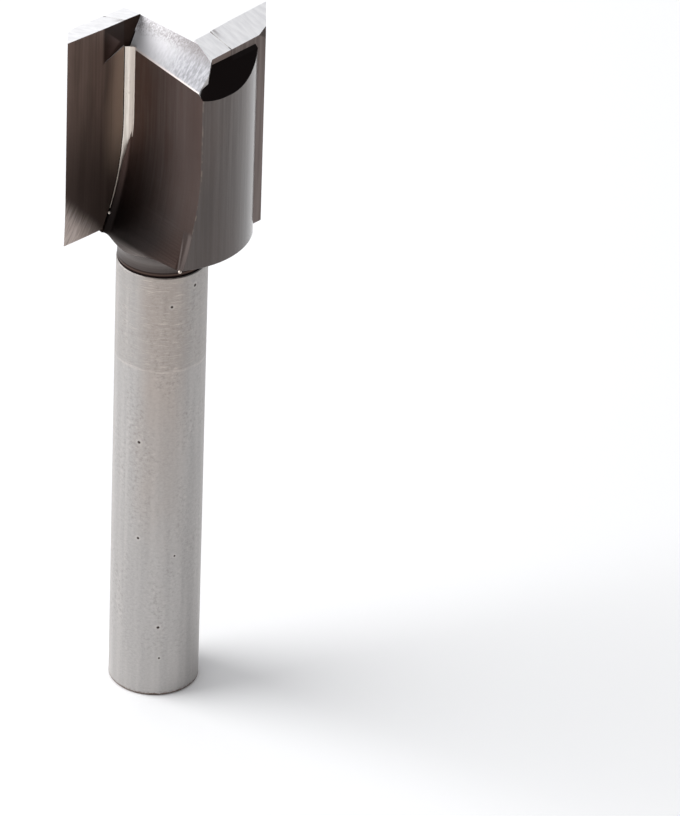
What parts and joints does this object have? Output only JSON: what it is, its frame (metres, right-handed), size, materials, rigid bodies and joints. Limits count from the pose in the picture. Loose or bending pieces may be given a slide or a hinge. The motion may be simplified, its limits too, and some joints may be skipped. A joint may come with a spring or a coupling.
{
  "type": "slot drill",
  "caption": "Straight-shank slot drill with brazed straight cutting plates and open run-out flutes.",
  "frame": {"origin": "centre of the shank's plain end face", "axes": "+Z along the tool's axis to the cutting end; the cutting faces of both plates are square to Y, and the plates' cutting edges point to -X and +X"},
  "size_m": [0.0176, 0.0156, 0.0662],
  "materials": {
    "ground_steel": "ground",
    "carbide": "ground"
  },
  "bodies": {
    "root": {"body": "ground_steel", "cutting_plate_1": "carbide", "cutting_plate_2": "carbide"}
  },
  "joints": []
}
